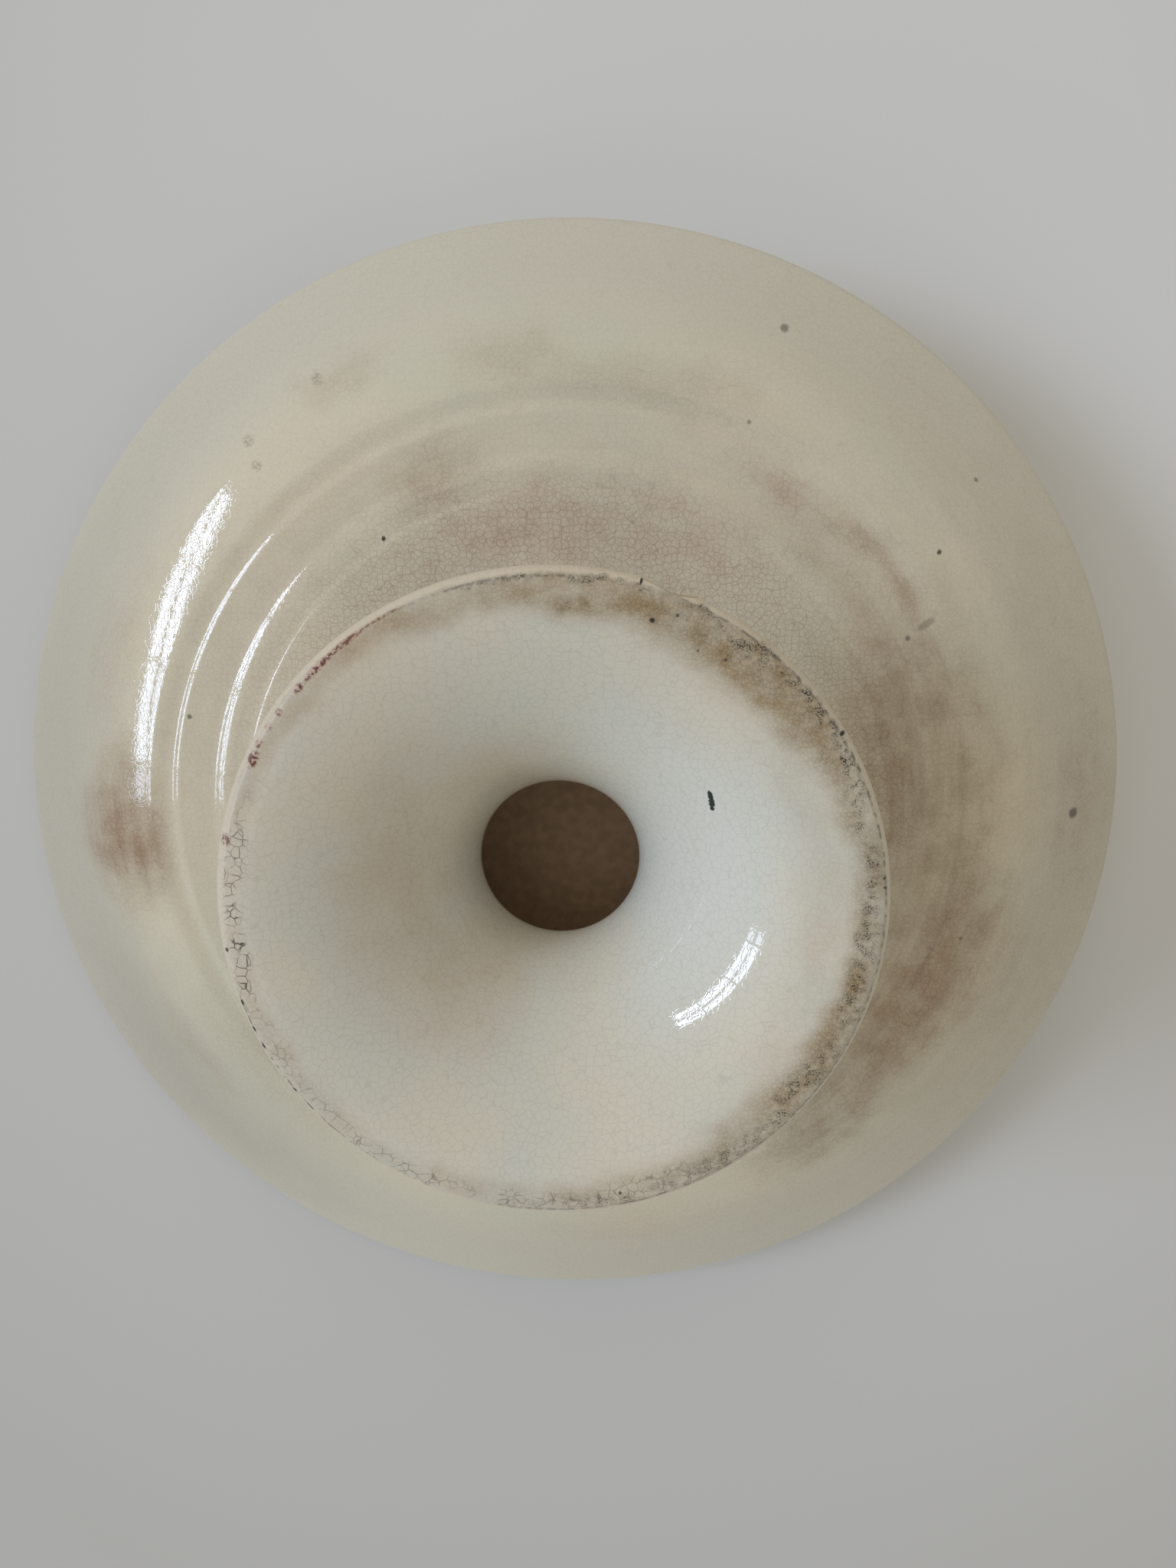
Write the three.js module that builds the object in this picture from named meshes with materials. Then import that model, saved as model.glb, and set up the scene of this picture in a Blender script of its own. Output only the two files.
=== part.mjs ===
// Pedestal plate in cream glazed earthenware.
// A jiggered plate is luted with slip onto a cast, hollow, waisted pedestal.
// Millimetres, +Z up. The origin is the centre of the ring that the foot stands on.

import * as THREE from 'three';

// Pedestal
const pedestalHeight = 54.8;
const footRadius = 51.1;
const footEdgeThickness = 4.2;
const standingRingWidth = 3.0;
const hollowEdgeSlope = 14;
const footTopSlope = 13;
const throatRadius = 13.8;
const throatHeight = 30.3;
const waistWall = 4.8;
const collarRadius = 32;
const collarWall = 5.0;
const collarSlope = 47;
const flareFullness = 0.4;

// Slip joint between the pedestal's collar and the plate
const slipThickness = 1.6;
const slipSpread = 1.9;
const coveFullness = 0.55;

// Plate
const plateRadius = 115;
const lipRise = 18.0;
const wellWall = 5.0;
const rimWall = 4.0;
const wellRadius = 74;
const cavettoRadius = 130;
const cavettoStartSlope = 14.6;
const cavettoSlope = 18.2;
const rimTurnRadius = 24;
const rimTurnSlope = 27;
const rimSlope = 29.5;
const rimFullness = 0.33;

// Steps turned under the plate. Going outward, the underside bows away over each one's round shoulder.
// A bead stands outside the last step, where the cavetto begins.
const innerStepRadius = 63.8;
const innerShoulder = 4;
const middleStepRadius = 70.4;
const middleShoulder = 12;
const outerStepRadius = 78.8;
const outerShoulder = 6;
const shoulderSlope = 24;
const beadRadius = 82.7;
const beadHeight = 0.3;
const beadFlank = 2.3;
const beadRound = 4;

// Fineness of the turned surfaces
const segmentsAround = 80;
const stepsPerFlare = 7;
const stepsPerRim = 5;
const stepsPerRound = 6;
const stepsPerShoulder = 3;
const stepsPerCove = 4;
const leastStep = 0.0001;

// Heights that follow from the sizes above
const plateBase = pedestalHeight + slipThickness;
const lipHeight = plateBase + lipRise;
const footRound = footEdgeThickness / 2;
const lipRound = rimWall / 2;

const creamGlaze = new THREE.MeshStandardMaterial({
	color: 0xd8d3be,
	roughness: 0.22,
	metalness: 0
});

const whiterGlaze = new THREE.MeshStandardMaterial({
	color: 0xdedacb,
	roughness: 0.22,
	metalness: 0
});

const bareSlip = new THREE.MeshStandardMaterial({
	color: 0xb9a98c,
	roughness: 0.8,
	metalness: 0
});

// A direction in the profile plane, at an angle in degrees from the outward radius.
function direction( degrees ) {

	const angle = THREE.MathUtils.degToRad( degrees );
	return new THREE.Vector2( Math.cos( angle ), Math.sin( angle ) );

}

// A smooth line between two profile points that leaves and arrives in the given directions.
function flowLine( start, leaving, end, arriving, fullness, steps ) {

	const span = end.clone().sub( start );
	const startArm = fullness * ( Math.abs( span.x * leaving.x ) + Math.abs( span.y * leaving.y ) );
	const endArm = fullness * ( Math.abs( span.x * arriving.x ) + Math.abs( span.y * arriving.y ) );
	const curve = new THREE.CubicBezierCurve(
		start,
		start.clone().addScaledVector( leaving, startArm ),
		end.clone().addScaledVector( arriving, - endArm ),
		end
	);
	return curve.getPoints( steps );

}

// Points along a round edge, from one angle to another in degrees.
function roundEdge( centre, radius, fromDegrees, toDegrees, steps ) {

	const points = [];
	for ( let i = 0; i <= steps; i ++ ) {

		const turned = direction( fromDegrees + ( toDegrees - fromDegrees ) * i / steps );
		points.push( centre.clone().addScaledVector( turned, radius ) );

	}

	return points;

}

// One turned body from a profile of ( radius, height ) points, counter-clockwise round its section.
function turned( name, profile, material ) {

	const isApart = ( point, i ) => i === 0 || point.distanceTo( profile[ i - 1 ] ) > leastStep;
	const apart = profile.filter( isApart );
	const geometry = new THREE.LatheGeometry( apart, segmentsAround );
	geometry.rotateX( Math.PI / 2 );
	const mesh = new THREE.Mesh( geometry, material );
	mesh.name = name;
	return mesh;

}

// The pedestal is an hourglass shell. Its hollow runs from the foot through the throat to the collar.
function makePedestal() {

	const footCentre = new THREE.Vector2( footRadius - footRound, footRound );
	const standingInside = new THREE.Vector2( footCentre.x - standingRingWidth, 0 );
	const throat = new THREE.Vector2( throatRadius, throatHeight );
	const waist = new THREE.Vector2( throatRadius + waistWall, throatHeight );
	const collarOutside = new THREE.Vector2( collarRadius, pedestalHeight );
	const collarInside = new THREE.Vector2( collarRadius - collarWall, pedestalHeight );

	const up = direction( 90 );
	const down = direction( - 90 );
	const edge = roundEdge( footCentre, footRound, - 90, 90 - footTopSlope, stepsPerRound );
	const footTop = edge[ edge.length - 1 ];

	const profile = [
		standingInside,
		...edge,
		...flowLine( footTop, direction( 180 - footTopSlope ), waist, up, flareFullness, stepsPerFlare ),
		...flowLine( waist, up, collarOutside, direction( collarSlope ), flareFullness, stepsPerFlare ),
		...flowLine( collarInside, direction( collarSlope - 180 ), throat, down, flareFullness, stepsPerFlare ),
		...flowLine( throat, down, standingInside, direction( - hollowEdgeSlope ), flareFullness, stepsPerFlare )
	];
	return turned( 'pedestal', profile, whiterGlaze );

}

// The slip fills the joint and spreads into a cove on the plate, outside and inside the collar.
function makeSlipJoint() {

	const collarInner = collarRadius - collarWall;
	const low = pedestalHeight;
	const high = plateBase;
	const outerCove = flowLine(
		new THREE.Vector2( collarRadius, low ), direction( 90 ),
		new THREE.Vector2( collarRadius + slipSpread, high ), direction( 0 ),
		coveFullness, stepsPerCove
	);
	const innerCove = flowLine(
		new THREE.Vector2( collarInner - slipSpread, high ), direction( 0 ),
		new THREE.Vector2( collarInner, low ), direction( - 90 ),
		coveFullness, stepsPerCove
	);
	const profile = [ ...outerCove, ...innerCove, outerCove[ 0 ] ];
	return turned( 'luting_slip', profile, bareSlip );

}

// Points of the plate's flat underside from its centre to the bead's crest.
function steppedUnderside() {

	const points = [ new THREE.Vector2( 0, plateBase ) ];
	let height = plateBase;
	for ( const [ stepRadius, shoulder ] of [
		[ innerStepRadius, innerShoulder ],
		[ middleStepRadius, middleShoulder ],
		[ outerStepRadius, outerShoulder ]
	] ) {

		const centreToFoot = direction( shoulderSlope - 90 ).multiplyScalar( shoulder );
		const centre = new THREE.Vector2( stepRadius - centreToFoot.x, height + shoulder );
		points.push( ...roundEdge( centre, shoulder, - 90, shoulderSlope - 90, stepsPerShoulder ) );
		height = centre.y + centreToFoot.y;

	}

	const beadFoot = new THREE.Vector2( beadRadius - beadFlank, height );
	const beadCrest = new THREE.Vector2( beadRadius, height - beadHeight );
	const level = direction( 0 );
	points.push( ...flowLine( beadFoot, level, beadCrest, level, flareFullness, stepsPerShoulder ) );
	return points;

}

// The next round edge, which carries on from a point and its slope without a corner.
function carryOn( from, slope, radius, toSlope, steps ) {

	const centre = from.clone().addScaledVector( direction( slope + 90 ), radius );
	return roundEdge( centre, radius, slope - 90, toSlope - 90, steps );

}

function makePlate() {

	const flatUnderside = steppedUnderside();
	const beadCrest = flatUnderside[ flatUnderside.length - 1 ];
	const beadOutside = carryOn( beadCrest, 0, beadRound, cavettoStartSlope, 1 );
	const cavetto = carryOn( beadOutside[ 1 ], cavettoStartSlope, cavettoRadius, cavettoSlope, stepsPerShoulder );
	const cavettoEnd = cavetto[ cavetto.length - 1 ];
	const rimTurn = carryOn( cavettoEnd, cavettoSlope, rimTurnRadius, rimTurnSlope, stepsPerShoulder );
	const rimStart = rimTurn[ rimTurn.length - 1 ];

	const lipCentre = new THREE.Vector2( plateRadius - lipRound, lipHeight );
	const lip = roundEdge( lipCentre, lipRound, rimSlope - 90, rimSlope + 90, stepsPerRound );
	const rimUnder = flowLine(
		rimStart, direction( rimTurnSlope ), lip[ 0 ], direction( rimSlope ), rimFullness, stepsPerRim );

	// The upper face runs a wall's thickness over the underside, thinning towards the lip.
	const wellEdge = new THREE.Vector2( wellRadius, plateBase + wellWall );
	const turnShare = ( rimStart.x - wellRadius ) / ( lipCentre.x - wellRadius );
	const turnWall = THREE.MathUtils.lerp( wellWall, rimWall, turnShare );
	const rimTurnUpper = rimStart.clone().addScaledVector( direction( rimTurnSlope + 90 ), turnWall );
	const rimUpper = flowLine(
		lip[ lip.length - 1 ], direction( rimSlope - 180 ),
		rimTurnUpper, direction( rimTurnSlope - 180 ), rimFullness, stepsPerRim );
	const wellCurve = flowLine(
		rimTurnUpper, direction( rimTurnSlope - 180 ), wellEdge, direction( 180 ), rimFullness, stepsPerRim );

	const profile = [
		...flatUnderside,
		...beadOutside,
		...cavetto,
		...rimTurn,
		...rimUnder,
		...lip,
		...rimUpper,
		...wellCurve,
		new THREE.Vector2( 0, plateBase + wellWall )
	];
	return turned( 'plate', profile, creamGlaze );

}

const pedestalPlate = new THREE.Group();
pedestalPlate.name = 'pedestal_plate';
pedestalPlate.add( makePedestal(), makeSlipJoint(), makePlate() );

export default pedestalPlate;
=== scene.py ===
import math

import bpy
from mathutils import Matrix, Vector


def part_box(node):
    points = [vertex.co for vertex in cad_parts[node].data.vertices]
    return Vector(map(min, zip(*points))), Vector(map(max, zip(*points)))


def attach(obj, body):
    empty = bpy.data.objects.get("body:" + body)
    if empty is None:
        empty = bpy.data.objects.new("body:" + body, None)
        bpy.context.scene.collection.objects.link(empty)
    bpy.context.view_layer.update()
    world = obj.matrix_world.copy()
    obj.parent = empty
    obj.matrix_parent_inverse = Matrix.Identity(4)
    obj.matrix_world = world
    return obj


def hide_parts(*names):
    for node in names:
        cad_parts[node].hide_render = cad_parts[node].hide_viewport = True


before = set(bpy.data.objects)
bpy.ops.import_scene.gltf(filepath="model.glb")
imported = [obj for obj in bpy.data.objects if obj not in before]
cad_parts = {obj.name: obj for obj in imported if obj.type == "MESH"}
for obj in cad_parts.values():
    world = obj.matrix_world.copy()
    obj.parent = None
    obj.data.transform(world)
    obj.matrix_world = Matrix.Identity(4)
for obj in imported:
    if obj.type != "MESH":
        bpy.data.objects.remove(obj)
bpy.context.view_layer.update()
print("frame loaded:", sorted(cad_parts))

mm = 0.001
samePoint = 0.0001 * mm   # points of an outline that are closer than this are one
mergeReach = 0.002 * mm   # and so are points of a spun mesh
plateLow, plateHigh = (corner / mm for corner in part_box("plate"))
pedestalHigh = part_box("pedestal")[1] / mm
slipLow, slipHigh = (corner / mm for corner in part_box("luting_slip"))


# Outlines are drawn in millimetres, as ( radius, height ) points, and turned round the Z axis.
def direction(degrees):
    return Vector((math.cos(math.radians(degrees)), math.sin(math.radians(degrees))))


def arcPoints(centre, radius, fromDegrees, toDegrees, steps):
    turn = (toDegrees - fromDegrees) / steps
    return [Vector(centre) + radius * direction(fromDegrees + turn * i) for i in range(steps + 1)]


def levelRun(fromRadius, toRadius, height, spacing=8):
    steps = math.ceil(abs(toRadius - fromRadius) / spacing)
    return [Vector((fromRadius + (toRadius - fromRadius) * i / steps, height)) for i in range(steps + 1)]


# an arc that carries on from a point without a corner, bowing away as the slope grows
def carryOn(start, slope, radius, toSlope, steps):
    centre = start + radius * direction(slope + 90)
    return arcPoints(centre, radius, slope - 90, toSlope - 90, steps)[1:]


# the same, hollowing as the slope falls
def turnBack(start, slope, radius, toSlope, steps):
    centre = start + radius * direction(slope - 90)
    return arcPoints(centre, radius, slope + 90, toSlope + 90, steps)[1:]


# a smooth line that leaves and arrives at the given slopes
def flowPoints(start, leaving, end, arriving, fullness, steps):
    start, end = Vector(start), Vector(end)
    leaveWay, arriveWay = direction(leaving), direction(arriving)
    span = end - start
    second = start + fullness * (abs(span.x * leaveWay.x) + abs(span.y * leaveWay.y)) * leaveWay
    third = end - fullness * (abs(span.x * arriveWay.x) + abs(span.y * arriveWay.y)) * arriveWay
    points = []
    for i in range(steps + 1):
        t = i / steps
        s = 1 - t
        points.append(s ** 3 * start + 3 * s * s * t * second + 3 * s * t * t * third + t ** 3 * end)
    return points


# A vertex is pulled along the outline by extruding, and the wire is spun into a closed body.
def turnOutline(name, outline, segments):
    bpy.ops.object.select_all(action="DESELECT")
    first = outline[0] * mm
    bpy.ops.mesh.primitive_plane_add(size=mm, location=(first.x, 0, first.y))
    piece = bpy.context.object
    piece.name = piece.data.name = name
    bpy.ops.object.transform_apply(location=True, rotation=True, scale=True)
    bpy.ops.object.mode_set(mode="EDIT")
    bpy.ops.mesh.select_all(action="SELECT")
    bpy.ops.mesh.merge(type="CENTER")
    for here, there in zip(outline, outline[1:]):
        step = (there - here) * mm
        if step.length > samePoint:
            bpy.ops.mesh.extrude_region_move(TRANSFORM_OT_translate={"value": (step.x, 0, step.y)})
    bpy.ops.mesh.select_all(action="SELECT")
    bpy.ops.mesh.spin(steps=segments, angle=2 * math.pi, center=(0, 0, 0), axis=(0, 0, 1))
    bpy.ops.mesh.select_all(action="SELECT")
    bpy.ops.mesh.remove_doubles(threshold=mergeReach)
    bpy.ops.mesh.normals_make_consistent(inside=False)
    bpy.ops.mesh.select_all(action="DESELECT")
    bpy.ops.object.mode_set(mode="OBJECT")
    return piece


# Clay is never quite true. The surface sinks in and out a little, and only inward, to stay in its box.
def wobble(piece, size, depth):
    clouds = bpy.data.textures.new(piece.name + "_wobble", "CLOUDS")
    clouds.noise_scale = size * mm
    clouds.noise_depth = 1
    bpy.ops.object.modifier_add(type="DISPLACE")
    sink = piece.modifiers[-1]
    sink.texture = clouds
    sink.texture_coords = "LOCAL"
    sink.strength = depth * mm
    sink.mid_level = 1.0
    bpy.ops.object.modifier_apply(modifier=sink.name)


def finishPiece(piece, node, material, smoothAngle=40):
    bpy.ops.object.select_all(action="DESELECT")
    piece.select_set(True)
    bpy.context.view_layer.objects.active = piece
    bpy.ops.object.shade_smooth_by_angle(angle=math.radians(smoothAngle))
    piece.data.materials.append(material)
    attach(piece, "root")
    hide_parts(node)
    print(piece.name, "made,", len(piece.data.polygons), "faces")


# Materials. Colours are sRGB hex, and one function turns them to linear.
def linear(hexColour):
    parts = [int(hexColour[i:i + 2], 16) / 255 for i in (1, 3, 5)]
    return [p / 12.92 if p <= 0.04045 else ((p + 0.055) / 1.055) ** 2.4 for p in parts] + [1.0]


# A node with its settings and links. Sockets are named, or numbered where the names repeat, and a node
# given as a value is linked from its first output in use.
def addNode(tree, kind, inputs, **settings):
    node = tree.nodes.new("ShaderNode" + kind)
    for name, value in settings.items():
        setattr(node, name, value)
    for key, value in inputs.items():
        sockets = [s for s in node.inputs if s.enabled and s.name == key]
        socket = sockets[0] if sockets else node.inputs[key]
        if isinstance(value, bpy.types.Node):
            value = [s for s in value.outputs if s.enabled][0]
        if isinstance(value, bpy.types.NodeSocket):
            tree.links.new(value, socket)
        else:
            socket.default_value = value
    return node


def startMaterial(name):
    material = bpy.data.materials.new(name)
    material.use_nodes = True
    material.node_tree.nodes.clear()
    return material, material.node_tree


def placeInMillimetres(tree):
    here = addNode(tree, "TexCoord", {}).outputs["Object"]
    return addNode(tree, "VectorMath", {0: here, "Scale": 1 / mm}, operation="SCALE")


# A place's distance from the axis, and the pair ( degrees, radius ), counted from +X towards +Y and on
# from the seam.
def roundTheAxis(tree, place, seam):
    flat = addNode(tree, "VectorMath", {0: place, 1: (1, 1, 0)}, operation="MULTIPLY")
    radius = addNode(tree, "VectorMath", {0: flat}, operation="LENGTH")
    turned = addNode(tree, "VectorRotate", {"Vector": flat, "Angle": math.radians(-seam - 180)},
                     rotation_type="Z_AXIS")
    parts = addNode(tree, "SeparateXYZ", {0: turned})
    angle = addNode(tree, "Math", {0: parts.outputs["Y"], 1: parts.outputs["X"]}, operation="ARCTAN2")
    angle = addNode(tree, "Math", {0: angle, 1: math.degrees(1), 2: seam + 180}, operation="MULTIPLY_ADD")
    return radius, addNode(tree, "CombineXYZ", {"X": angle, "Y": radius})


# Clouds from 0 to 1. Settings give them as ( size in mm, the noise where they begin, the noise where they
# are full, detail ).
def clouds(tree, place, size, low, high, detail=3.0):
    noise = addNode(tree, "TexNoise", {"Vector": place, "Scale": 1 / size, "Detail": detail})
    return addNode(tree, "MapRange", {"Value": noise, "From Min": low, "From Max": high},
                   interpolation_type="SMOOTHSTEP")


# Streaks left by the turning tool, long round the axis and short along the radius, with no seam.
def streaks(tree, place, radius, arcDegrees, width, low, high):
    flat = addNode(tree, "VectorMath", {0: place, 1: (1, 1, 0)}, operation="MULTIPLY")
    compass = addNode(tree, "VectorMath", {0: flat}, operation="NORMALIZE")
    outward = addNode(tree, "CombineXYZ", {"Z": radius})
    outward = addNode(tree, "VectorMath", {0: outward, "Scale": 1 / width}, operation="SCALE")
    turns = math.degrees(1) / arcDegrees
    spread = addNode(tree, "VectorMath", {0: compass, 1: (turns, turns, 1), 2: outward},
                     operation="MULTIPLY_ADD")
    return clouds(tree, spread, 1, low, high)


# The pattern's point pushed about by noise, so that an edge drawn with it wanders. Settings give it as
# ( size in mm, reach along each of the pattern's axes ).
def wander(tree, place, pattern, size, reach):
    noise = addNode(tree, "TexNoise", {"Vector": place, "Scale": 1 / size, "Detail": 2.0})
    spread = [2 * r for r in reach]
    centred = addNode(tree, "VectorMath", {0: noise.outputs["Color"], 1: spread, 2: [-r for r in reach]},
                      operation="MULTIPLY_ADD")
    return addNode(tree, "VectorMath", {0: pattern, 1: centred}, operation="ADD")


# Crazing: a net of hair cracks round cells of the given size, 1 on a crack and 0 off it. The cracks bend,
# and both sizes of the bend are shares of a cell.
netShape = {"bendSize": 1.7, "bendReach": 0.35, "randomness": 0.85}


def crazing(tree, place, cell, width):
    reach = netShape["bendReach"] * cell
    bent = wander(tree, place, place, netShape["bendSize"] * cell, (reach, reach, reach))
    net = addNode(tree, "TexVoronoi", {"Vector": bent, "Scale": 1 / cell,
                                       "Randomness": netShape["randomness"]}, feature="DISTANCE_TO_EDGE")
    return addNode(tree, "MapRange", {"Value": net, "From Min": 0.0, "From Max": width / cell,
                                      "To Min": 1.0, "To Max": 0.0})


# Soft-edged patches, each ( degrees, radius, reach in degrees, reach in mm, strength ). One that crosses
# the seam is given on both sides of it.
def patchesOf(tree, polar, look, name):
    softness = look["softness"][name]
    total = None
    for angle, radius, angleReach, radiusReach, strength in look[name].values():
        away = addNode(tree, "VectorMath", {0: polar, 1: (1 / angleReach, 1 / radiusReach, 0),
                                            2: (-angle / angleReach, -radius / radiusReach, 0)},
                       operation="MULTIPLY_ADD")
        far = addNode(tree, "VectorMath", {0: away}, operation="LENGTH")
        patch = addNode(tree, "MapRange", {"Value": far, "From Min": 1 + softness, "From Max": 1 - softness,
                                           "To Max": strength}, interpolation_type="SMOOTHSTEP")
        total = patch if total is None else addNode(tree, "Math", {0: total, 1: patch}, operation="ADD",
                                                    use_clamp=True)
    return total


# Cream lead glaze, dipped and fired glossy over pale earthenware. The surface ripples a little, and tea
# and fat have crept under the crazed glaze in soft brown clouds. Some of the brown on the right is painted
# shadow and shade, and grey patches of painted shade darken the left rim. A hair crack is far finer than a
# render shows, so cracks are drawn a tenth of a millimetre wide.
plateGlaze = {
    "cream": "#CCC5AF",
    "greenCream": "#C4C2AE",
    "rimCream": "#C0BDAD",
    "shadeFilm": "#989689",
    "tea": "#8B7459",
    "pinkTea": "#A3836F",
    "crack": "#6A5640",
    "clay": "#AE8E6E",
    "wetClay": "#9C7F61",
    "iron": "#3A3026",
    "fineCell": 0.9,
    "wideCell": 1.3,
    "fineNet": 0.5,   # how strongly the finer net shows beside the wider one
    "crackWidth": 0.10,
    "crackFaint": 0.10,
    "crackNearFoot": 0.36,
    "crackInStain": 0.40,
    "nearFoot": (57.0, 70.0),   # radii
    "rimThickens": (86.0, 106.0),
    "upperShare": 0.25,
    "tone": (38, 0.3, 0.7),
    "mottle": (5.5, 0.25, 0.75, 8.0),
    "mottleShare": 0.40,
    "streaks": (26, 1.8, 0.25, 0.75),   # degrees long, mm wide, and as in clouds
    "streakShare": 0.24,
    "plainShare": 0.42,
    "grit": (0.5, 0.35, 0.55),
    "damp": (2.0, 0.3, 0.7, 5.0),
    "drift": (16, (5, 5, 0)),
    "fray": (5, (1.5, 1.5, 0)),
    "speckEdge": (0.6, (0.2, 0.3, 0)),
    "softness": {"shadeFilms": 0.75, "stains": 0.75, "pinkStains": 0.75, "smudges": 0.5, "specks": 0.4},
    "rippleSize": 1.3,
    "rippleDetail": 1.2,
    "rippleHeight": 0.0045,
    "grooveDepth": 0.002,
    "roughness": 0.03,
    "bareRoughness": 0.7,
    "ior": 1.6,
    "seam": -80,
    # painted shade: grey patches that darken the left rim
    "shadeFilms": {
        "leftRim": (-6, 108, 40, 14, 0.45),
        "lowerLeft": (-42, 98, 20, 14, 0.27),
    },
    "stains": {
        "leftBloom": (-3, 90.5, 8, 8, 0.85),
        "leftBand": (18, 74, 48, 12, 0.16),
        "leftUpper": (19, 95, 10, 5, 0.20),
        "upperLeft": (69, 70, 7, 6, 0.40),
        "topBloom": (82, 90, 6, 5, 0.22),
        "topShoulder": (63, 94, 5, 3, 0.20),
        "topArc": (100, 84, 16, 5, 0.20),
        "upperRight": (136, 74, 22, 6, 0.32),
        # painted shadow: a dark arc along the foot of the outer step
        "upperRightStepShadow": (152, 77.5, 28, 1.4, 0.16),
        # these two are brown stain with the foot's shadow painted into it
        "rightStainAndFootShadow": (171, 65.5, 22, 10, 0.75),
        "rightArcStainAndFootShadow": (170, 81, 22, 5, 0.28),
        "rightRim": (178, 105, 9, 7, 0.10),
        "lowerRight": (209, 79, 21, 10, 0.74),
        "lowerRightLobe": (200, 92, 8, 10, 0.14),
        "bottomLobe": (235, 86, 8, 7, 0.40),
        "lowerLeftMark": (-34, 95, 8, 3, 0.16),
        "lowerLeftBand": (-42, 84, 14, 5, 0.15),
        # part stain, part painted shade on the rim's side away from the window
        "rightHalfStainAndShade": (186, 97, 58, 24, 0.19),
    },
    "pinkStains": {
        "footHaloLeft": (62, 56, 26, 8, 0.30),
        "footHaloTop": (105, 57, 30, 9, 0.38),
        "innerHaze": (100, 64, 70, 16, 0.14),
        "pinkSpot": (122, 75, 5, 2.5, 0.32),
        "leftCore": (-2, 91, 5, 6, 0.30),
        "rightRimCore": (178, 105, 7, 6, 0.16),
        "rightCore": (205, 80, 12, 8, 0.16),
        "bottomFaint": (263, 94, 8, 6, 0.12),
    },
    "smudges": {
        "upperSmudge": (49.9, 94.8, 0.7, 1.1, 0.32),
        "nextSmudge": (48.9, 90.0, 0.65, 1.0, 0.30),
        "lowerSmudge": (60.5, 96.5, 0.6, 1.4, 0.30),
    },
    "specks": {
        "leftSpeck": (15, 77, 0.35, 0.45, 0.7),
        "upperSpeck": (57.5, 64.5, 0.35, 0.4, 1.0),
        "topSpeck": (113.5, 102, 0.45, 0.8, 0.6),
        "topDot": (114, 83, 0.3, 0.4, 0.5),
        "cornerDot": (140, 102.7, 0.25, 0.4, 0.6),
        "streakEnd": (151, 74.7, 0.4, 0.5, 0.6),
        "streak": (150.5, 79, 0.5, 1.8, 0.35),
        "rightDot": (143.5, 88, 0.3, 0.45, 0.9),
        "rimSpeck": (180, 103.5, 0.6, 1.0, 0.75),
        "lowerDot": (197, 83.6, 0.3, 0.4, 0.5),
    },
}


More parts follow.
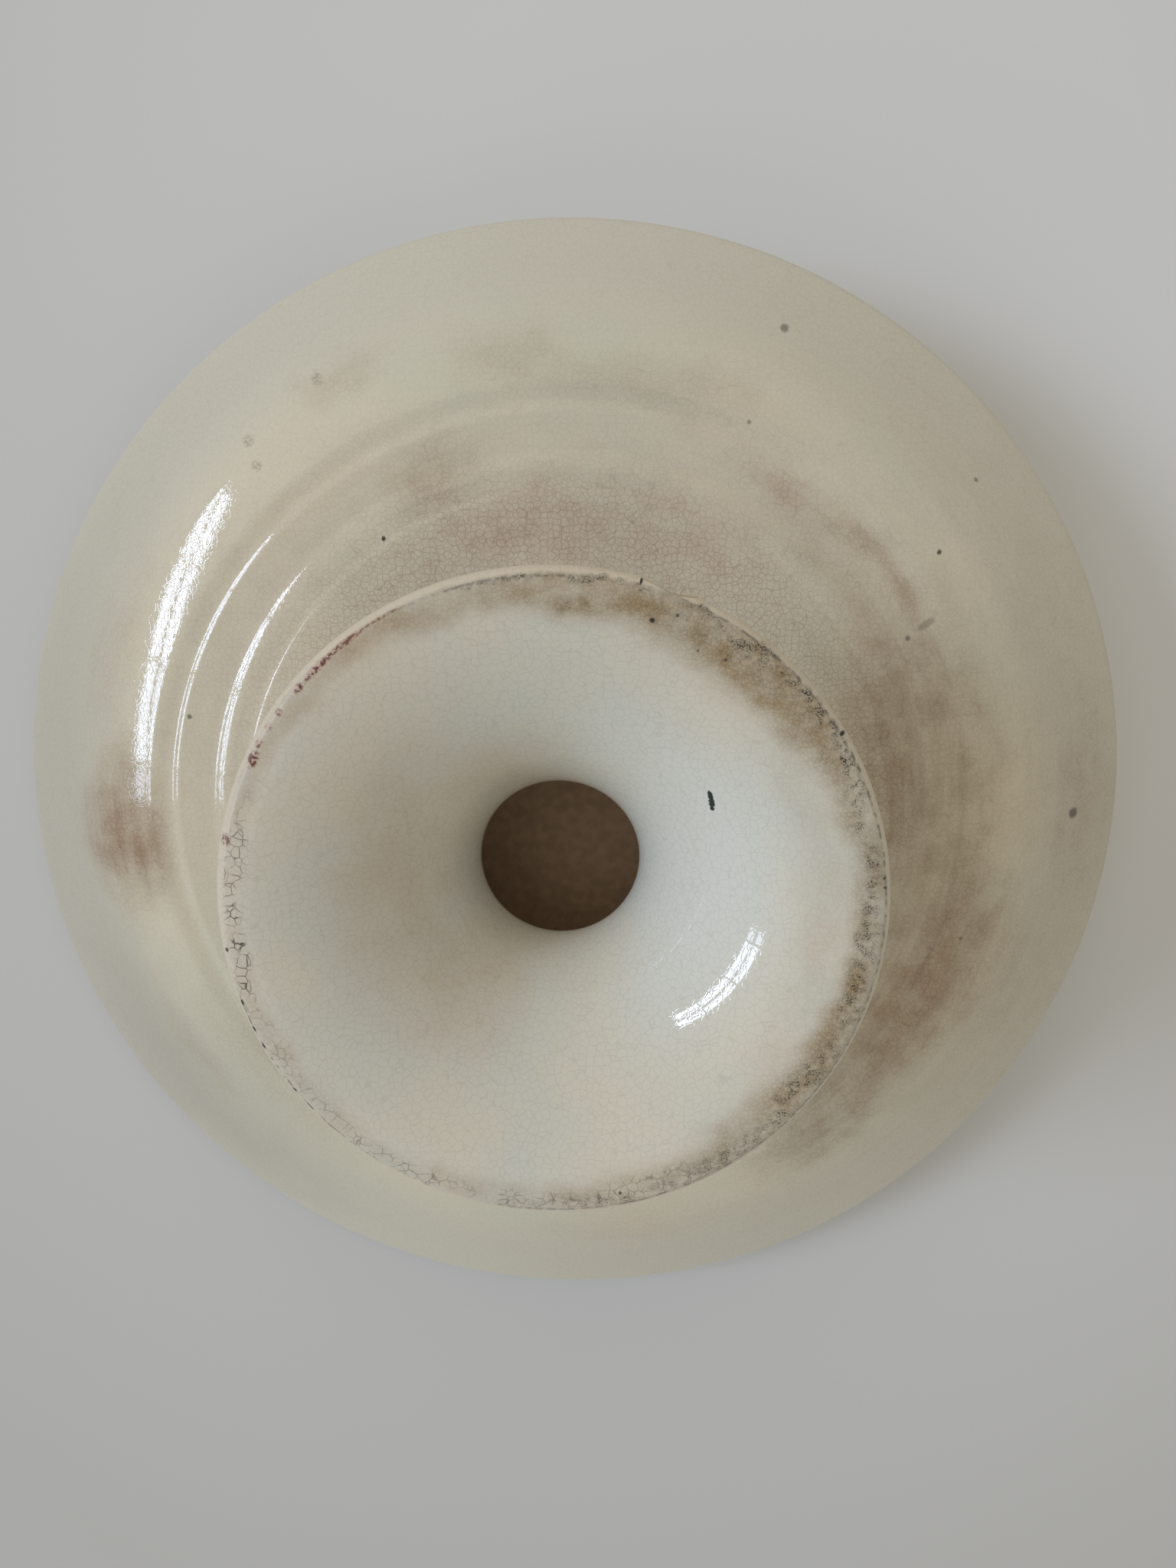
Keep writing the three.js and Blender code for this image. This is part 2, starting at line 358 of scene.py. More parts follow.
def makePlateGlaze(look):
    material, tree = startMaterial("creamGlazedEarthenware")
    place = placeInMillimetres(tree)
    radius, polar = roundTheAxis(tree, place, look["seam"])
    loosePolar = wander(tree, place, polar, *look["drift"])
    loosePolar = wander(tree, place, loosePolar, *look["fray"])

    # the upper side has been washed more often than the underside, and took a quarter of the stain
    facing = addNode(tree, "SeparateXYZ", {0: addNode(tree, "TexCoord", {}).outputs["Normal"]})
    under = addNode(tree, "MapRange", {"Value": facing.outputs["Z"], "From Min": 0.3, "From Max": -0.3,
                                       "To Min": look["upperShare"], "To Max": 1.0})

    tone = clouds(tree, place, *look["tone"])
    colour = addNode(tree, "Mix", {"Factor": tone, "A": linear(look["cream"]),
                                   "B": linear(look["greenCream"])}, data_type="RGBA")

    # the glaze lies thicker and greyer on the rim
    thin, thick = look["rimThickens"]
    outward = addNode(tree, "MapRange", {"Value": radius, "From Min": thin, "From Max": thick},
                      interpolation_type="SMOOTHSTEP")

    # and grey patches of painted shade darken the rim on one side
    shadeFilm = addNode(tree, "Math", {0: patchesOf(tree, loosePolar, look, "shadeFilms"), 1: under},
                   operation="MULTIPLY")

    # stains are mottled, and streaked round the axis
    mottle = clouds(tree, place, *look["mottle"])
    lines = streaks(tree, place, radius, *look["streaks"])
    cloudy = addNode(tree, "Math", {0: mottle, 1: look["mottleShare"], 2: look["plainShare"]},
                     operation="MULTIPLY_ADD")
    cloudy = addNode(tree, "Math", {0: lines, 1: look["streakShare"], 2: cloudy}, operation="MULTIPLY_ADD")
    stain = addNode(tree, "Math", {0: patchesOf(tree, loosePolar, look, "stains"), 1: cloudy},
                    operation="MULTIPLY")
    stain = addNode(tree, "Math", {0: stain, 1: under}, operation="MULTIPLY")
    pink = addNode(tree, "Math", {0: patchesOf(tree, loosePolar, look, "pinkStains"), 1: cloudy},
                   operation="MULTIPLY")
    pink = addNode(tree, "Math", {0: pink, 1: under}, operation="MULTIPLY")

    # cracks show where stain has crept into them
    fine = crazing(tree, place, look["fineCell"], look["crackWidth"])
    wide = crazing(tree, place, look["wideCell"], look["crackWidth"])
    net = addNode(tree, "Math", {0: fine, 1: look["fineNet"]}, operation="MULTIPLY")
    net = addNode(tree, "Math", {0: net, 1: wide}, operation="MAXIMUM")
    near, far = look["nearFoot"]
    depth = addNode(tree, "MapRange", {"Value": radius, "From Min": far, "From Max": near,
                                       "To Min": look["crackFaint"], "To Max": look["crackNearFoot"]},
                    interpolation_type="SMOOTHSTEP")
    for stained in (stain, pink):
        depth = addNode(tree, "Math", {0: stained, 1: look["crackInStain"], 2: depth},
                        operation="MULTIPLY_ADD")
    for share in (net, under):
        depth = addNode(tree, "Math", {0: depth, 1: share}, operation="MULTIPLY")

    # iron specks in the glaze, and a few grey smudges
    grit = clouds(tree, place, *look["grit"])
    smudge = addNode(tree, "Math", {0: patchesOf(tree, polar, look, "smudges"), 1: grit},
                     operation="MULTIPLY")
    dots = patchesOf(tree, wander(tree, place, polar, *look["speckEdge"]), look, "specks")
    dots = addNode(tree, "Math", {0: dots, 1: smudge}, operation="MAXIMUM")
    below = addNode(tree, "MapRange", {"Value": facing.outputs["Z"], "From Min": 0.1, "From Max": -0.1})
    dots = addNode(tree, "Math", {0: dots, 1: below}, operation="MULTIPLY")

    # each layer lies over the ones before it
    layers = ((outward, "rimCream"), (shadeFilm, "shadeFilm"), (stain, "tea"), (pink, "pinkTea"), (depth, "crack"),
              (dots, "iron"))
    for share, layer in layers:
        colour = addNode(tree, "Mix", {"Factor": share, "A": colour, "B": linear(look[layer])},
                         data_type="RGBA")

    # inside the collar the clay was left bare
    collarBore = slipHigh.x - slip["spread"] - slip["wall"]
    bare = addNode(tree, "MapRange", {"Value": radius, "From Min": collarBore, "From Max": collarBore - 1})
    bare = addNode(tree, "Math", {0: bare, 1: below}, operation="MULTIPLY")
    damp = clouds(tree, place, *look["damp"])
    clay = addNode(tree, "Mix", {"Factor": damp, "A": linear(look["clay"]), "B": linear(look["wetClay"])},
                   data_type="RGBA")
    colour = addNode(tree, "Mix", {"Factor": bare, "A": colour, "B": clay}, data_type="RGBA")

    ripple = addNode(tree, "TexNoise", {"Vector": place, "Scale": 1 / look["rippleSize"],
                                        "Detail": look["rippleDetail"]})
    height = addNode(tree, "Math", {0: net, 1: -look["grooveDepth"] / look["rippleHeight"], 2: ripple},
                     operation="MULTIPLY_ADD")
    bump = addNode(tree, "Bump", {"Distance": look["rippleHeight"] * mm, "Height": height})
    rough = addNode(tree, "MapRange", {"Value": bare, "To Min": look["roughness"],
                                       "To Max": look["bareRoughness"]})
    surface = addNode(tree, "BsdfPrincipled", {"Base Color": colour, "Roughness": rough, "IOR": look["ior"],
                                               "Normal": bump})
    addNode(tree, "OutputMaterial", {"Surface": surface})
    return material


# The same clay under a whiter glaze. The foot has been dragged over shelves: soot and rust sit in the
# cracks of the ring that it stands on, and a knock has chipped its edge. Soot is too fine to show grain by
# grain, so its grains are drawn a quarter of a millimetre wide, and the cracks a tenth.
pedestalGlaze = {
    "white": "#C7C2B1",
    "coolWhite": "#C0C1B6",
    # painted cool daylight on the hollow's window-lit side
    "paintedDaylight": "#C7CAC2",
    "blushAndShade": "#B0987E",
    "edge": "#C8BFAB",
    "ringStain": "#94805F",
    "crack": "#54462F",
    "soot": "#241E14",
    "rust": "#571F10",
    "rustHalo": "#9C6B52",
    "chippedClay": "#AD9C7C",
    "paint": "#14241D",
    "fineCell": 0.7,
    "wideCell": 1.3,
    "crackWidth": 0.10,
    "dirtyCell": 1.5,
    "dirtyWidth": 0.10,
    "hairShare": 0.13,
    "dirtyShare": 0.45,
    "footHeight": (3.4, 5.0),   # the foot's wear ends between these heights
    "hollowHeight": (20.0, 22.0),   # and the stroke of paint between these
    "thinEdge": (49.8, 50.3),   # radii
    "edgeCleaned": 0.8,
    "rubbed": (46.0, 47.5),   # radii
    "rubbedDull": 0.5,
    "tone": (22, 0.3, 0.7),
    "blotch": (7, 0.3, 0.7),
    "blotchShare": 0.5,
    "patchy": (4, 0.3, 0.7, 5.0),
    "patchyShare": 0.4,
    "evenShare": 0.62,
    "broken": (2.4, 0.32, 0.55),
    "lineBreaks": (1.1, 0.40, 0.62),
    "lineBroken": 0.85,
    "grains": (0.24, 0.46, 0.60, 5.0),
    "grainShare": 0.85,
    "sootClumps": (1.4, 0.38, 0.60),
    "blots": (0.6, 0.47, 0.53),
    "haloShare": 0.45,
    "drift": (6, (3, 1.8, 0)),
    "lineRoute": (2.5, (0.5, 0.15, 0)),
    "strokeEdge": (0.8, (0.5, 0.25, 0)),
    "softness": {"paintedDaylights": 0.6, "blushesAndShade": 0.8, "ringStains": 0.6, "edgeShadeLines": 0.6, "dirtyCracks": 0.5,
                 "sootClusters": 0.7, "rustClusters": 0.45, "specks": 0.4, "stroke": 0.25},
    "chipMargin": (0.03, 0.08),
    "rippleSize": 1.8,
    "rippleDetail": 1.2,
    "rippleHeight": 0.0024,
    "grooveDepth": 0.0016,
    "roughness": 0.03,
    "bareRoughness": 0.6,
    "ior": 1.6,
    "seam": -80,
    "paintedDaylights": {
        "right": (172, 24, 62, 11, 0.90),
    },
    "blushesAndShade": {
        # in the hollow these are painted shade; on the edge, clay showing through the glaze
        "leftHollowShade": (-10, 24, 45, 10, 0.38),
        "lowerHollowShade": (-55, 22, 20, 8, 0.25),
        "upperLeftHollowShade": (28, 33, 30, 7, 0.18),
        "topHollowShade": (70, 20, 24, 6, 0.34),
        "leftEdge": (15, 48.5, 40, 2.5, 0.16),
        "upperLeftEdge": (52, 47.6, 18, 2.6, 0.34),
    },
    "ringStains": {
        "rightHaze": (178, 43.5, 48, 5.5, 0.22),
        "upperRightHaze": (122, 44, 18, 4, 0.14),
        "upperLeft": (40, 48.8, 24, 2.2, 0.32),
        "topLeft": (70, 48.4, 16, 3.2, 0.50),
        "top": (95, 47.6, 14, 4.0, 0.66),
        "topBlot": (94, 45.5, 3.5, 1.3, 0.35),
        "topRight": (118, 47.2, 14, 4.6, 0.72),
        "upperRight": (138, 47.4, 13, 4.2, 0.78),
        "right": (160, 48.2, 14, 3.2, 0.44),
        "rightLow": (182, 48.4, 14, 2.8, 0.48),
        "lowerRight": (206, 48.0, 14, 3.6, 0.72),
        "bottomRight": (230, 47.6, 13, 4.0, 0.60),
        "bottom": (254, 48.0, 13, 3.4, 0.42),
        "bottomLeft": (278, 48.4, 14, 3.0, 0.28),
        "bottomLeftAgain": (-82, 48.4, 14, 3.0, 0.28),
        "left": (-40, 48.6, 30, 2.6, 0.28),
    },
    "edgeShadeLines": {
        "top": (84, 49.6, 24, 0.22, 0.45),
        "upperRight": (140, 50.0, 34, 0.22, 0.55),
        "lowerRight": (205, 50.1, 44, 0.22, 0.50),
        "bottom": (268, 50.0, 34, 0.20, 0.45),
        "lowerLeft": (-34, 50.15, 20, 0.18, 0.80),
    },
    "dirtyCracks": {
        "leftChain": (4, 48.0, 15, 1.3, 0.80),
        "leftChainLow": (-10, 48.1, 8, 1.3, 0.75),
        "lowerLeftChain": (-30, 48.4, 15, 1.5, 0.40),
        "bottomChain": (-60, 48.8, 16, 1.4, 0.60),
        "bottomChainAgain": (283, 48.6, 22, 1.6, 0.60),
        "bottomRight": (250, 48.0, 14, 2.2, 0.50),
    },
    "sootClusters": {
        "topLeft": (83, 49.5, 9, 0.35, 0.8),
        "topFirst": (93.2, 49.3, 1.6, 0.5, 1.0),
        "topSecond": (97.1, 49.5, 2.2, 0.55, 1.0),
        "topBlot": (94, 45.6, 2.5, 0.9, 0.4),
        "topRight": (102.5, 49.5, 4, 0.4, 0.9),
        "afterChip": (116.5, 49.5, 3.5, 0.5, 0.9),
        "upperRightFirst": (127, 49.0, 5, 1.1, 0.9),
        "upperRightSecond": (136, 49.3, 4, 0.9, 0.9),
        "upperRightThird": (142, 49.0, 3.5, 1.0, 1.0),
        "rightFirst": (149.4, 49.3, 3, 0.8, 1.0),
        "rightSecond": (155, 49.2, 4, 1.1, 0.9),
        "rightInner": (160.5, 47.4, 4, 0.9, 0.6),
        "rightThird": (170, 48.3, 3, 0.9, 0.9),
        "rightFourth": (176, 48.2, 2.6, 0.8, 0.9),
        "rightLow": (182, 47.9, 3.5, 1.5, 1.0),
        "lowerRight": (194, 47.8, 8, 1.4, 0.7),
        "lowest": (215, 48.0, 9, 1.8, 0.7),
        "bottomRight": (236, 48.4, 11, 1.6, 0.65),
        "bottom": (262, 49.0, 13, 1.0, 0.7),
        "dustTop": (118, 47.4, 14, 2.6, 0.36),
        "dustRight": (150, 47.6, 22, 2.6, 0.28),
        "dustLow": (205, 47.8, 26, 2.4, 0.28),
    },
    "rustClusters": {
        "biggest": (27.4, 49.3, 1.5, 0.75, 1.0),
        "pair": (30.3, 49.6, 0.8, 0.5, 0.8),
        "ringlet": (33.7, 49.6, 0.7, 0.5, 0.6),
        "small": (36.9, 49.5, 0.6, 0.5, 0.7),
        "dark": (42.3, 49.4, 0.9, 0.55, 0.9),
        "lineStart": (47, 49.5, 3.4, 0.5, 0.95),
        "lineEnd": (53.5, 49.6, 3.5, 0.42, 0.85),
        "beyondLine": (61, 49.75, 4, 0.22, 0.6),
        "low": (12.1, 49.7, 1.0, 0.8, 0.7),
    },
    "specks": {
        "topInner": (108.5, 45.7, 0.5, 0.35, 1.0),
        "topOuter": (112.3, 47.6, 0.3, 0.25, 0.8),
        "topFar": (118.4, 44.4, 0.25, 0.25, 0.6),
        "topFarthest": (123.6, 45.3, 0.3, 0.25, 0.8),
        "chipCrack": (104.8, 50.5, 0.22, 0.5, 1.0),
        "upperRight": (147.2, 50.3, 0.40, 0.45, 1.0),
        "right": (173.6, 49.8, 0.25, 0.2, 0.9),
        "rightLower": (175.3, 49.9, 0.25, 0.25, 0.9),
        "bottom": (256.9, 48.0, 0.3, 0.3, 0.8),
        "edgeFirst": (-8, 50.0, 0.4, 0.3, 0.9),
        "edgeSecond": (-18, 50.1, 0.6, 0.25, 1.0),
        "edgeThird": (-23.3, 50.2, 0.5, 0.25, 1.0),
        "edgeFourth": (-26.9, 50.2, 0.5, 0.25, 1.0),
        "edgeFifth": (-36.7, 50.2, 0.5, 0.25, 0.9),
    },
    "stroke": {
        "head": (145.6, 29.1, 0.9, 0.36, 1.0),
        "neck": (146.8, 28.9, 0.9, 0.38, 1.0),
        "middle": (148.0, 28.7, 0.9, 0.40, 1.0),
        "body": (149.2, 28.45, 0.9, 0.38, 1.0),
        "tail": (150.4, 28.2, 0.8, 0.30, 1.0),
    },
}


def makePedestalGlaze(look):
    material, tree = startMaterial("whiteGlazedEarthenware")
    place = placeInMillimetres(tree)
    radius, polar = roundTheAxis(tree, place, look["seam"])
    loosePolar = wander(tree, place, polar, *look["drift"])
    height = addNode(tree, "SeparateXYZ", {0: place}).outputs["Z"]
    within, beyond = look["footHeight"]
    atFoot = addNode(tree, "MapRange", {"Value": height, "From Min": beyond, "From Max": within})

    tone = clouds(tree, place, *look["tone"])
    colour = addNode(tree, "Mix", {"Factor": tone, "A": linear(look["white"]),
                                   "B": linear(look["coolWhite"])}, data_type="RGBA")
    # painted light: the side of the hollow that faces the window is drawn paler and bluer, as if lit by cool
    # daylight
    paintedDaylight = patchesOf(tree, loosePolar, look, "paintedDaylights")
    # elsewhere the clay shows through it in warm blotches, and in the hollow's shaded side the same warm
    # patches are painted shade
    blotch = clouds(tree, place, *look["blotch"])
    blotch = addNode(tree, "Math", {0: blotch, 1: look["blotchShare"], 2: 1 - look["blotchShare"]},
                     operation="MULTIPLY_ADD")
    blushAndShade = addNode(tree, "Math", {0: patchesOf(tree, loosePolar, look, "blushesAndShade"), 1: blotch},
                    operation="MULTIPLY")

    # glaze runs thin over the round edge, and the clay warms it
    within, beyond = look["thinEdge"]
    edge = addNode(tree, "MapRange", {"Value": radius, "From Min": within, "From Max": beyond})
    edge = addNode(tree, "Math", {0: edge, 1: atFoot}, operation="MULTIPLY")

    # brown tint round the standing ring
    patchy = clouds(tree, place, *look["patchy"])
    patchy = addNode(tree, "Math", {0: patchy, 1: look["patchyShare"], 2: look["evenShare"]},
                     operation="MULTIPLY_ADD")
    notEdge = addNode(tree, "Math", {0: edge, 1: -look["edgeCleaned"], 2: 1.0}, operation="MULTIPLY_ADD")
    grime = addNode(tree, "Math", {0: patchesOf(tree, loosePolar, look, "ringStains"), 1: patchy},
                    operation="MULTIPLY")
    for share in (notEdge, atFoot):
        grime = addNode(tree, "Math", {0: grime, 1: share}, operation="MULTIPLY")

    # hair cracks everywhere, and dirty ones near the standing ring, where some are filled black
    fine = crazing(tree, place, look["fineCell"], look["crackWidth"])
    wide = crazing(tree, place, look["wideCell"], look["crackWidth"])
    filled = crazing(tree, place, look["dirtyCell"], look["dirtyWidth"])
    broken = clouds(tree, place, *look["broken"])
    for share in (broken, patchesOf(tree, loosePolar, look, "dirtyCracks"), atFoot):
        filled = addNode(tree, "Math", {0: filled, 1: share}, operation="MULTIPLY")
    dirty = addNode(tree, "Math", {0: grime, 1: look["dirtyShare"]}, operation="MULTIPLY")
    dirty = addNode(tree, "Math", {0: dirty, 1: fine}, operation="MULTIPLY")
    cracks = addNode(tree, "Math", {0: wide, 1: look["hairShare"]}, operation="MULTIPLY")
    cracks = addNode(tree, "Math", {0: cracks, 1: dirty}, operation="MAXIMUM")

    # painted shade: a thin dark line where the round edge meets the ring, in the soot colour
    lineRoute = wander(tree, place, polar, *look["lineRoute"])
    shadeLine = clouds(tree, place, *look["lineBreaks"])
    shadeLine = addNode(tree, "Math", {0: shadeLine, 1: look["lineBroken"], 2: 1 - look["lineBroken"]},
                   operation="MULTIPLY_ADD")
    for share in (patchesOf(tree, lineRoute, look, "edgeShadeLines"), atFoot):
        shadeLine = addNode(tree, "Math", {0: shadeLine, 1: share}, operation="MULTIPLY")

    # soot gathers in smudges of fine grains, and rust in blots with a paler halo
    grains = clouds(tree, place, *look["grains"])
    soot = addNode(tree, "Math", {0: grains, 1: look["grainShare"], 2: 1 - look["grainShare"]},
                   operation="MULTIPLY_ADD")
    clumps = clouds(tree, place, *look["sootClumps"])
    for share in (clumps, patchesOf(tree, loosePolar, look, "sootClusters"), atFoot):
        soot = addNode(tree, "Math", {0: soot, 1: share}, operation="MULTIPLY")
    blots = clouds(tree, place, *look["blots"])
    rusty = addNode(tree, "Math", {0: patchesOf(tree, polar, look, "rustClusters"), 1: atFoot},
                    operation="MULTIPLY")
    halo = addNode(tree, "Math", {0: rusty, 1: look["haloShare"]}, operation="MULTIPLY")
    rust = addNode(tree, "Math", {0: rusty, 1: blots}, operation="MULTIPLY")
    dots = addNode(tree, "Math", {0: patchesOf(tree, polar, look, "specks"), 1: atFoot},
                   operation="MULTIPLY")

    # one short stroke of green-black paint in the hollow
    within, beyond = look["hollowHeight"]
    inHollow = addNode(tree, "MapRange", {"Value": height, "From Min": beyond, "From Max": within})
    stroke = patchesOf(tree, wander(tree, place, polar, *look["strokeEdge"]), look, "stroke")
    stroke = addNode(tree, "Math", {0: stroke, 1: inHollow}, operation="MULTIPLY")

    # each layer lies over the ones before it; the line where the edge meets the ring is painted shade in the
    # soot colour
    layers = ((paintedDaylight, "paintedDaylight"), (blushAndShade, "blushAndShade"), (edge, "edge"), (grime, "ringStain"), (cracks, "crack"),
              (filled, "soot"), (shadeLine, "soot"), (soot, "soot"), (halo, "rustHalo"), (rust, "rust"),
              (dots, "soot"), (stroke, "paint"))
    for share, layer in layers:
        colour = addNode(tree, "Mix", {"Factor": share, "A": colour, "B": linear(look[layer])},
                         data_type="RGBA")

    # a chip is a scoop out of a ball, so its bare clay is found by the distance to the ball's middle
    within, beyond = look["chipMargin"]
    bare = None
    for chip in pedestal["chips"].values():
        away = addNode(tree, "VectorMath", {0: place, 1: chipMiddle(chip)}, operation="DISTANCE")
        cut = addNode(tree, "MapRange", {"Value": away, "From Min": chip["size"] + beyond,
                                         "From Max": chip["size"] + within})
        bare = cut if bare is None else addNode(tree, "Math", {0: bare, 1: cut}, operation="MAXIMUM")
    clay = addNode(tree, "Mix", {"Factor": grains, "A": linear(look["chippedClay"]),
                                 "B": linear(look["ringStain"])}, data_type="RGBA")
    colour = addNode(tree, "Mix", {"Factor": bare, "A": colour, "B": clay}, data_type="RGBA")

    ripple = addNode(tree, "TexNoise", {"Vector": place, "Scale": 1 / look["rippleSize"],
                                        "Detail": look["rippleDetail"]})
    relief = addNode(tree, "Math", {0: wide, 1: -look["grooveDepth"] / look["rippleHeight"], 2: ripple},
                     operation="MULTIPLY_ADD")
    bump = addNode(tree, "Bump", {"Distance": look["rippleHeight"] * mm, "Height": relief})

    # the ring that it stands on is rubbed dull, and so are its stain and the bare clay
    within, beyond = look["rubbed"]
    worn = addNode(tree, "MapRange", {"Value": radius, "From Min": within, "From Max": beyond,
                                      "To Max": look["rubbedDull"]})
    worn = addNode(tree, "Math", {0: worn, 1: atFoot}, operation="MULTIPLY")
    for dull in (grime, bare):
        worn = addNode(tree, "Math", {0: worn, 1: dull}, operation="MAXIMUM")
    rough = addNode(tree, "MapRange", {"Value": worn, "To Min": look["roughness"],
                                       "To Max": look["bareRoughness"]})
    surface = addNode(tree, "BsdfPrincipled", {"Base Color": colour, "Roughness": rough, "IOR": look["ior"],
                                               "Normal": bump})
    addNode(tree, "OutputMaterial", {"Surface": surface})
    return material


# Clay slip sponged into the joint, under a thin coat of the glaze, so it is duller and a little grainy.
slipLook = {
    "slip": "#A89B82",
    "wetSlip": "#8E7F66",
    "mottle": (3.5, 0.35, 0.65, 5.0),
    "grain": 1.2,
    "grainHeight": 0.05,
    "roughness": 0.45,
}


def makeSlipFinish(look):
    material, tree = startMaterial("spongedClaySlip")
    place = placeInMillimetres(tree)
    mottle = clouds(tree, place, *look["mottle"])
    colour = addNode(tree, "Mix", {"Factor": mottle, "A": linear(look["slip"]),
                                   "B": linear(look["wetSlip"])}, data_type="RGBA")
    grain = addNode(tree, "TexNoise", {"Vector": place, "Scale": 1 / look["grain"], "Detail": 4.0})
    bump = addNode(tree, "Bump", {"Distance": look["grainHeight"] * mm, "Height": grain})
    surface = addNode(tree, "BsdfPrincipled", {"Base Color": colour, "Roughness": look["roughness"],
                                               "Normal": bump})
    addNode(tree, "OutputMaterial", {"Surface": surface})
    return material


# Plate. The radius, base and lip come from the frame. Under it are three steps, each given as ( the radius
# where it ends, the tight round of its shoulder, the wide round that follows ), then a low bead, the cavetto
# and the rim. Sizes are in mm and slopes in degrees.
plate = {
    "radius": plateHigh.x,
    "base": plateLow.z,
    "top": plateHigh.z,
    "lipRound": 2.0,
    "wellWall": 5.0,
    "wellRadius": 74,
    "steps": [(63.5, 3, 3), (70.2, 5, 26), (78.9, 3, 12)],
    "shoulderTurn": 16,   # where the tight round gives way to the wide one
    "shoulderSlope": 20,
    "stepFillet": 4.0,
    "beadRadius": 82.7,
    "beadHeight": 0.12,
    "beadFlank": 2.3,
    "beadFullness": 0.4,
    "beadRound": 4,
    "cavettoRadius": 130,
    "cavettoStartSlope": 14.6,
    "cavettoSlope": 18.2,
    "rimTurnRadius": 24,
    "rimTurnSlope": 27,
    "rimSlope": 29.5,
    "rimFullness": 0.33,
    "segments": 288,
    "wobbleSize": 24,
    "wobbleDepth": 0.10,
}


def makePlate(p, material):
    outline = [Vector((0, p["base"]))]
    height = p["base"]
    for stepRadius, tightRound, wideRound in p["steps"]:
        atTurn, atSlope = direction(p["shoulderTurn"]).y, direction(p["shoulderSlope"]).y
        bow = tightRound * atTurn + wideRound * (atSlope - atTurn)
        outline += levelRun(outline[-1].x, stepRadius - bow, height)[1:]
        outline += carryOn(outline[-1], 0, tightRound, p["shoulderTurn"], steps=6)
        outline += carryOn(outline[-1], p["shoulderTurn"], wideRound, p["shoulderSlope"], steps=6)
        outline += turnBack(outline[-1], p["shoulderSlope"], p["stepFillet"], 0, steps=3)
        height = outline[-1].y
    crest = (p["beadRadius"], height - p["beadHeight"])
    beadStart = (p["beadRadius"] - p["beadFlank"], height)
    outline += flowPoints(beadStart, 0, crest, 0, p["beadFullness"], steps=8)
    outline += carryOn(outline[-1], 0, p["beadRound"], p["cavettoStartSlope"], steps=5)
    outline += carryOn(outline[-1], p["cavettoStartSlope"], p["cavettoRadius"], p["cavettoSlope"], steps=12)
    outline += carryOn(outline[-1], p["cavettoSlope"], p["rimTurnRadius"], p["rimTurnSlope"], steps=8)
    rimStart = outline[-1]

    lipCentre = Vector((p["radius"] - p["lipRound"], p["top"] - p["lipRound"]))
    lip = arcPoints(lipCentre, p["lipRound"], p["rimSlope"] - 90, p["rimSlope"] + 90, steps=14)
    outline += flowPoints(rimStart, p["rimTurnSlope"], lip[0], p["rimSlope"], p["rimFullness"], steps=12)[1:]
    outline += lip[1:]

    # the upper face is a wall's thickness over the underside, thinning towards the lip
    wellEdge = Vector((p["wellRadius"], p["base"] + p["wellWall"]))
    share = (rimStart.x - p["wellRadius"]) / (lipCentre.x - p["wellRadius"])
    wall = p["wellWall"] + (2 * p["lipRound"] - p["wellWall"]) * share
    rimTurnUpper = rimStart + wall * direction(p["rimTurnSlope"] + 90)
    outline += flowPoints(lip[-1], p["rimSlope"] - 180, rimTurnUpper, p["rimTurnSlope"] - 180,
                          p["rimFullness"], steps=12)[1:]
    outline += flowPoints(rimTurnUpper, p["rimTurnSlope"] - 180, wellEdge, 180,
                          p["rimFullness"], steps=14)[1:]
    outline += levelRun(wellEdge.x, 0, wellEdge.y)[1:]
    piece = turnOutline("glazed_plate", outline, p["segments"])
    wobble(piece, p["wobbleSize"], p["wobbleDepth"])
    finishPiece(piece, "plate", material)


# Pedestal. Its heights, foot and collar come from the frame. A chip is scooped out of the foot's edge by a
# ball of the given size, at an angle round the foot, to the given depth.
pedestal = {
    "height": pedestalHigh.z,
    "footRadius": pedestalHigh.x,
    "footRound": 2.1,
    "standingRingWidth": 3.0,
    "hollowEdgeSlope": 14,
    "footTopSlope": 13,
    "throatRadius": 13.8,
    "throatHeight": 30.3,
    "throatFlare": 17,
    "waistWall": 4.8,
    "collarRadius": 32,
    "collarWall": 5.0,
    "collarSlope": 47,
    "fullness": 0.4,
    "segments": 360,
    "wobbleSize": 18,
    "wobbleDepth": 0.08,
    "chips": {
        "long": {"angle": 110.0, "size": 8.5, "depth": 1.1},
        "steep": {"angle": 106.4, "size": 2.2, "depth": 0.8},
    },
}


def chipMiddle(chip):
    outward = direction(chip["angle"]) * (pedestal["footRadius"] + chip["size"] - chip["depth"])
    return Vector((outward.x, outward.y, pedestal["footRound"]))


def scoopChip(piece, chip):
    bpy.ops.object.select_all(action="DESELECT")
    bpy.ops.mesh.primitive_ico_sphere_add(subdivisions=5, radius=chip["size"] * mm,
                                          location=chipMiddle(chip) * mm)
    ball = bpy.context.object
    bpy.context.view_layer.objects.active = piece
    bpy.ops.object.modifier_add(type="BOOLEAN")
    bite = piece.modifiers[-1]
    bite.object = ball
    bite.operation = "DIFFERENCE"
    bite.solver = "EXACT"
    bpy.ops.object.modifier_apply(modifier=bite.name)
    bpy.data.objects.remove(ball)


